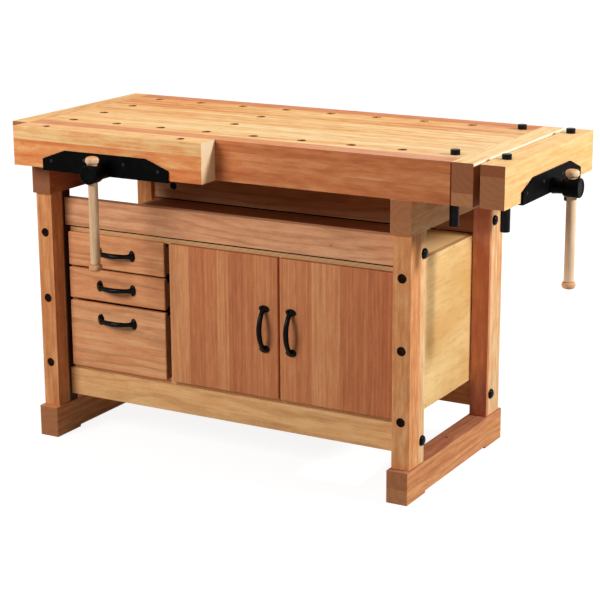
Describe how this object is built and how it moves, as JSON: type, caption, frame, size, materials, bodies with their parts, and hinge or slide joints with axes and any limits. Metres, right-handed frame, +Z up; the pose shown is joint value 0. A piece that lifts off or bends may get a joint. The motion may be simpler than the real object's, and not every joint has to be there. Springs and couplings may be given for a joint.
{
  "type": "woodworking bench",
  "caption": "Wooden joiner's bench on a trestle base with a front vise, an end vise, round dog holes, steel dogs and a cabinet with drawers and doors.",
  "frame": {"origin": "on the floor, below the middle of the bench's bounding box", "axes": "+X along the bench towards the end vise, -Y towards the worker at the front vise, +Z up"},
  "size_m": [1.5476, 0.743, 0.913],
  "materials": {
    "oiled_beech": "oiled satin",
    "pale_beech": "bare turned",
    "birch_ply": "matt",
    "black_steel": "satin black"
  },
  "bodies": {
    "bench": {"top_slab": "oiled_beech", "front_apron": "oiled_beech", "rear_apron": "oiled_beech", "left_end_cap": "oiled_beech", "right_end_cap": "oiled_beech", "left_foot": "oiled_beech", "left_bearer": "oiled_beech", "left_front_leg": "oiled_beech", "left_front_upper_bolt": "black_steel", "left_front_lower_bolt": "black_steel", "left_rear_leg": "oiled_beech", "left_rear_upper_bolt": "black_steel", "left_rear_lower_bolt": "black_steel", "right_foot": "oiled_beech", "right_bearer": "oiled_beech", "right_front_leg": "oiled_beech", "right_front_upper_bolt": "black_steel", "right_front_lower_bolt": "black_steel", "right_rear_leg": "oiled_beech", "right_rear_upper_bolt": "black_steel", "right_rear_lower_bolt": "black_steel", "front_upper_rail": "oiled_beech", "front_lower_rail": "oiled_beech", "rear_upper_rail": "oiled_beech", "rear_lower_rail": "oiled_beech", "front_nut": "black_steel", "end_nut": "black_steel", "cabinet_left_side": "birch_ply", "cabinet_right_side": "birch_ply", "cabinet_top": "birch_ply", "cabinet_bottom": "birch_ply", "cabinet_divider": "birch_ply", "cabinet_back": "birch_ply"},
    "front_jaw": {"front_jaw": "oiled_beech", "front_plate": "black_steel"},
    "front_screw": {"front_screw": "black_steel"},
    "front_handle": {"front_handle": "pale_beech"},
    "end_jaw": {"end_jaw": "oiled_beech", "end_plate": "black_steel"},
    "end_screw": {"end_screw": "black_steel"},
    "end_handle": {"end_handle": "pale_beech"},
    "top_dog_front": {"top_dog_front": "black_steel"},
    "top_dog_rear": {"top_dog_rear": "black_steel"},
    "jaw_dog_front": {"jaw_dog_front": "black_steel"},
    "jaw_dog_rear": {"jaw_dog_rear": "black_steel"},
    "drawer_1": {"drawer_1_front": "oiled_beech", "drawer_1_box": "birch_ply", "drawer_1_pull": "black_steel"},
    "drawer_2": {"drawer_2_front": "oiled_beech", "drawer_2_box": "birch_ply", "drawer_2_pull": "black_steel"},
    "drawer_3": {"drawer_3_front": "oiled_beech", "drawer_3_box": "birch_ply", "drawer_3_pull": "black_steel"},
    "left_door": {"left_door": "oiled_beech", "left_door_pull": "black_steel"},
    "right_door": {"right_door": "oiled_beech", "right_door_pull": "black_steel"}
  },
  "joints": [
    {"name": "front_vise_slide", "type": "slide", "parent": "bench", "child": "front_jaw", "axis": [0, -1, 0], "range_m": [0, 0.145]},
    {"name": "front_screw_turn", "type": "hinge", "parent": "front_jaw", "child": "front_screw", "pos_m": [-0.4177, -0.34745, 0.8035], "axis": [0, -1, 0], "range_deg": [0, 10440]},
    {"name": "front_handle_slide", "type": "slide", "parent": "front_screw", "child": "front_handle", "axis": [0, 0, 1], "range_m": [0, 0.2155]},
    {"name": "end_vise_slide", "type": "slide", "parent": "bench", "child": "end_jaw", "axis": [1, 0, 0], "range_m": [-0.015, 0.13]},
    {"name": "end_screw_turn", "type": "hinge", "parent": "end_jaw", "child": "end_screw", "pos_m": [0.7498, 0.07245, 0.8035], "axis": [1, 0, 0], "range_deg": [-1080, 9360]},
    {"name": "end_handle_slide", "type": "slide", "parent": "end_screw", "child": "end_handle", "axis": [0, 0, 1], "range_m": [0, 0.2155]},
    {"name": "top_dog_front_slide", "type": "slide", "parent": "bench", "child": "top_dog_front", "axis": [0, 0, 1], "range_m": [-0.013, 0.06]},
    {"name": "top_dog_rear_slide", "type": "slide", "parent": "bench", "child": "top_dog_rear", "axis": [0, 0, 1], "range_m": [-0.013, 0.06]},
    {"name": "jaw_dog_front_slide", "type": "slide", "parent": "end_jaw", "child": "jaw_dog_front", "axis": [0, 0, 1], "range_m": [-0.013, 0.06]},
    {"name": "jaw_dog_rear_slide", "type": "slide", "parent": "end_jaw", "child": "jaw_dog_rear", "axis": [0, 0, 1], "range_m": [-0.013, 0.06]},
    {"name": "drawer_1_slide", "type": "slide", "parent": "bench", "child": "drawer_1", "axis": [0, -1, 0], "range_m": [0, 0.12]},
    {"name": "drawer_2_slide", "type": "slide", "parent": "bench", "child": "drawer_2", "axis": [0, -1, 0], "range_m": [0, 0.25]},
    {"name": "drawer_3_slide", "type": "slide", "parent": "bench", "child": "drawer_3", "axis": [0, -1, 0], "range_m": [0, 0.25]},
    {"name": "left_door_hinge", "type": "hinge", "parent": "bench", "child": "left_door", "pos_m": [-0.3078, -0.16435, 0.3949], "axis": [0, 0, -1], "range_deg": [0, 90]},
    {"name": "right_door_hinge", "type": "hinge", "parent": "bench", "child": "right_door", "pos_m": [0.3792, -0.16435, 0.3949], "axis": [0, 0, 1], "range_deg": [0, 90]}
  ],
  "couplings": [
    {"joint": "front_vise_slide", "follows": "front_screw_turn", "m_per_rad": 0.00079577},
    {"joint": "end_vise_slide", "follows": "end_screw_turn", "m_per_rad": 0.00079577}
  ]
}
